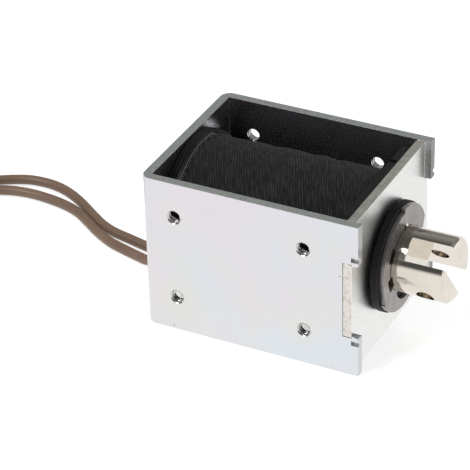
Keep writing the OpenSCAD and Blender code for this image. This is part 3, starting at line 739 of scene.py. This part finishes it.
def makeThreads():
    f = threadForm
    half = (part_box("frame")[1].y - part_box("frame")[0].y) / 2
    g = Graph("tappedThreads", "zincSheet", Pitch=f["pitch"] * mm, Turns=f["turns"], Bore=f["bore"] * mm,
              Ridge=f["ridge"] * mm, SpacingX=f["dx"] * mm, SpacingZ=f["dz"] * mm, Leg=half)
    tall = g.math("MULTIPLY", g.value("Pitch"), g.value("Turns"))
    helix = g.add("GeometryNodeCurveSpiral", None, {"Resolution": 28, "Rotations": g.value("Turns"),
                  "Start Radius": g.value("Bore"), "End Radius": g.value("Bore"), "Height": tall})
    ridge = g.circle(4, "Ridge")
    thread = g.add("GeometryNodeCurveToMesh", None,
                   {"Curve": helix.outputs[0], "Profile Curve": ridge, "Fill Caps": True})
    grid = g.add("GeometryNodeMeshGrid", None, {"Size X": g.value("SpacingX"), "Size Y": g.value("SpacingZ"),
                 "Vertices X": 2, "Vertices Y": 2})
    holes = g.add("GeometryNodeInstanceOnPoints", None,
                  {"Points": grid.outputs[0], "Instance": thread.outputs[0]})
    sides = []
    for side in (-1, 1):
        inset = g.math("MULTIPLY", g.math("SUBTRACT", g.value("Leg"), f["inset"] * mm), side)
        move = g.add("ShaderNodeCombineXYZ", None, {0: at(f["holeX"], 0, 0).x, 1: inset, 2: axisHeight})
        turned = g.add("GeometryNodeTransform", None,
                       {"Geometry": holes.outputs[0], "Translation": move.outputs[0],
                        "Rotation": (side * math.pi / 2, 0, 0)})
        sides.append(turned.outputs[0])
    piece = g.build("tappedThreads", g.join(*sides))
    smooth(piece.data, 30)
    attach(piece, "solenoid")


makeThreads()


hemForm = {"radius": 17.42, "thread": 0.04, "stitches": 105, "long": 0.42, "thin": 0.028,
           "near": 0.12, "spread": 0.45, "seed": 7, "from": 0.455, "to": 0.99}


def makeHem():
    f = hemForm
    g = Graph("hemThread", "hem", Radius=f["radius"] * mm, Thread=f["thread"] * mm, Stitches=f["stitches"],
              Long=f["long"] * mm, Thin=f["thin"] * mm, Near=f["near"] * mm, Spread=f["spread"] * mm,
              Seed=f["seed"], From=f["from"], To=f["to"])
    circle = g.circle(220, "Radius")
    section = g.circle(6, "Thread")
    shown = g.add("GeometryNodeTrimCurve", {"mode": "FACTOR"},
                  {0: circle, 2: g.value("From"), 3: g.value("To")})
    thread = g.add("GeometryNodeCurveToMesh", None,
                   {"Curve": shown.outputs[0], "Profile Curve": section, "Fill Caps": True})
    places = g.add("GeometryNodeCurveToPoints", {"mode": "COUNT"}, {"Curve": shown.outputs[0],
                   "Count": g.value("Stitches")})
    aside = g.add("FunctionNodeRandomValue", {"data_type": "FLOAT"},
                  {2: g.value("Near"), 3: g.value("Spread"), "Seed": g.value("Seed")})
    # each stitch lies across the hem, and lower the further in it is
    sink = g.math("MULTIPLY", aside.outputs[1], -0.30)
    place = g.add("GeometryNodeInputPosition").outputs[0]
    outward = g.add("ShaderNodeVectorMath", {"operation": "NORMALIZE"}, {0: place}).outputs[0]
    lowered = g.add("ShaderNodeVectorMath", {"operation": "SCALE"}, {0: outward, "Scale": sink}).outputs[0]
    along = g.add("ShaderNodeCombineXYZ", None, {2: aside.outputs[1]}).outputs[0]
    shift = g.add("ShaderNodeVectorMath", {"operation": "ADD"}, {0: lowered, 1: along}).outputs[0]
    moved = g.add("GeometryNodeSetPosition", None, {"Geometry": places.outputs[0], "Offset": shift})
    stitch = g.add("GeometryNodeMeshCylinder", {"fill_type": "NGON"},
                   {"Vertices": 6, "Radius": g.value("Thin"), "Depth": g.value("Long")})
    lean = g.add("FunctionNodeRandomValue", {"data_type": "FLOAT_VECTOR"},
                 {0: (-0.5, -0.5, 0), 1: (0.5, 0.5, 3.1), "Seed": g.value("Seed")})
    size = g.add("FunctionNodeRandomValue", {"data_type": "FLOAT"},
                 {2: 0.35, 3: 1.1, "Seed": g.value("Seed")})
    stitches = g.add("GeometryNodeInstanceOnPoints", None,
                     {"Points": moved.outputs[0], "Instance": stitch.outputs[0],
                      "Rotation": lean.outputs[0], "Scale": size.outputs[1]})
    clothEnd = (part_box("coil_wrap")[0].x + 0.02 * mm, 0, axisHeight)
    both = g.add("GeometryNodeTransform", None,
                 {"Geometry": g.join(thread.outputs[0], stitches.outputs[0]),
                  "Translation": clothEnd, "Rotation": (0, math.pi / 2, 0)})
    piece = g.build("hemThread", both.outputs[0])
    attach(piece, "solenoid")


makeHem()
print("threads and hem made")


# ---------- floor, backdrop, light

stageForm = {"floor": 6.0, "glow": 0.62, "mirror": 0.95, "sky": 0.5, "nearCard": 0.10,
             "card": ((0.0, 0.95), (0.10, 0.32), (0.28, 0.24), (0.50, 0.36), (0.66, 0.28), (0.86, 0.10)),
             "lamps": {"keyLamp": ((-0.40, -0.58, 0.85), 0.34, 3.6),
                       "fillLamp": ((0.95, -0.3, 0.45), 0.5, 1.2),
                       "rimLamp": ((0.25, 0.6, 1.0), 0.5, 1.6)}, "unseen": ("fillLamp", "rimLamp")}


def rayKinds(s):
    rays = s.node("ShaderNodeLightPath")
    kinds = ("Camera", "Glossy", "Transmission")
    camera, glossy, through = (s.out(rays, "Is %s Ray" % kind) for kind in kinds)
    return camera, glossy + through


def makeStage():
    f = stageForm
    mesh = bpy.data.meshes.new("floor")
    h = f["floor"]
    mesh.from_pydata([(x, y, -0.1 * mm) for x, y in ((-h, -h), (h, -h), (h, h), (-h, h))], [], [(0, 1, 2, 3)])
    floor = bpy.data.objects.new("floor", mesh)
    bpy.context.scene.collection.objects.link(floor)
    mesh.materials.append(bpy.data.materials.new("paleFloor"))
    s = Shade(mesh.materials[0])
    camera, mirrored = rayKinds(s)
    matt = s.out(s.node("ShaderNodeBsdfDiffuse", None, {"Color": (0.82, 0.82, 0.82, 1)}))
    glow = s.out(s.node("ShaderNodeEmission", None, {"Strength": camera * f["glow"]}))
    lit = s.out(s.node("ShaderNodeAddShader", None, {0: matt, 1: glow}))
    plain = s.out(s.node("ShaderNodeEmission", None, {"Strength": f["mirror"]}))
    both = s.node("ShaderNodeMixShader", None, {0: mirrored, 1: lit, 2: plain})
    s.node("ShaderNodeOutputMaterial", None, {0: s.out(both)})

    world = bpy.data.worlds.new("studio")
    bpy.context.scene.world = world
    s = Shade(world)
    camera, mirrored = rayKinds(s)
    aimY, height = s.parts(s.out(s.node("ShaderNodeTexCoord"), "Generated"))[1:]
    # white to the eye, and to anything that mirrors it a bright horizon
    # under dim cards, the dimmer one in front
    stops = [(place, (grey, grey, grey)) for place, grey in f["card"]]
    far = s.out(s.node("ShaderNodeValToRGB", {"stops": stops}, {0: height}))
    front = f["mirror"] + s.step(height, 0.02, 0.16) * (f["nearCard"] - f["mirror"])
    behind = s.step(aimY, -0.25, 0.15)
    card = s.mix(behind, s.vector(front, front, front), far)
    card = s.parts(card)[0]
    level = camera + mirrored * card + (1 - camera - mirrored) * f["sky"]
    background = s.out(s.node("ShaderNodeBackground", None, {"Strength": level}))
    s.node("ShaderNodeOutputWorld", None, {0: background})

    for name, (place, size, power) in f["lamps"].items():
        data = bpy.data.lights.new(name, "AREA")
        data.energy = power
        data.size = size
        data.shape = "DISK"
        lamp = bpy.data.objects.new(name, data)
        lamp.visible_glossy = name not in f["unseen"]
        lamp.location = place
        lamp.rotation_euler = (Vector((0, 0, 0.02)) - Vector(place)).to_track_quat("-Z", "Y").to_euler()
        bpy.context.scene.collection.objects.link(lamp)


makeStage()
bpy.context.scene.view_settings.view_transform = "Standard"
print("stage lit")
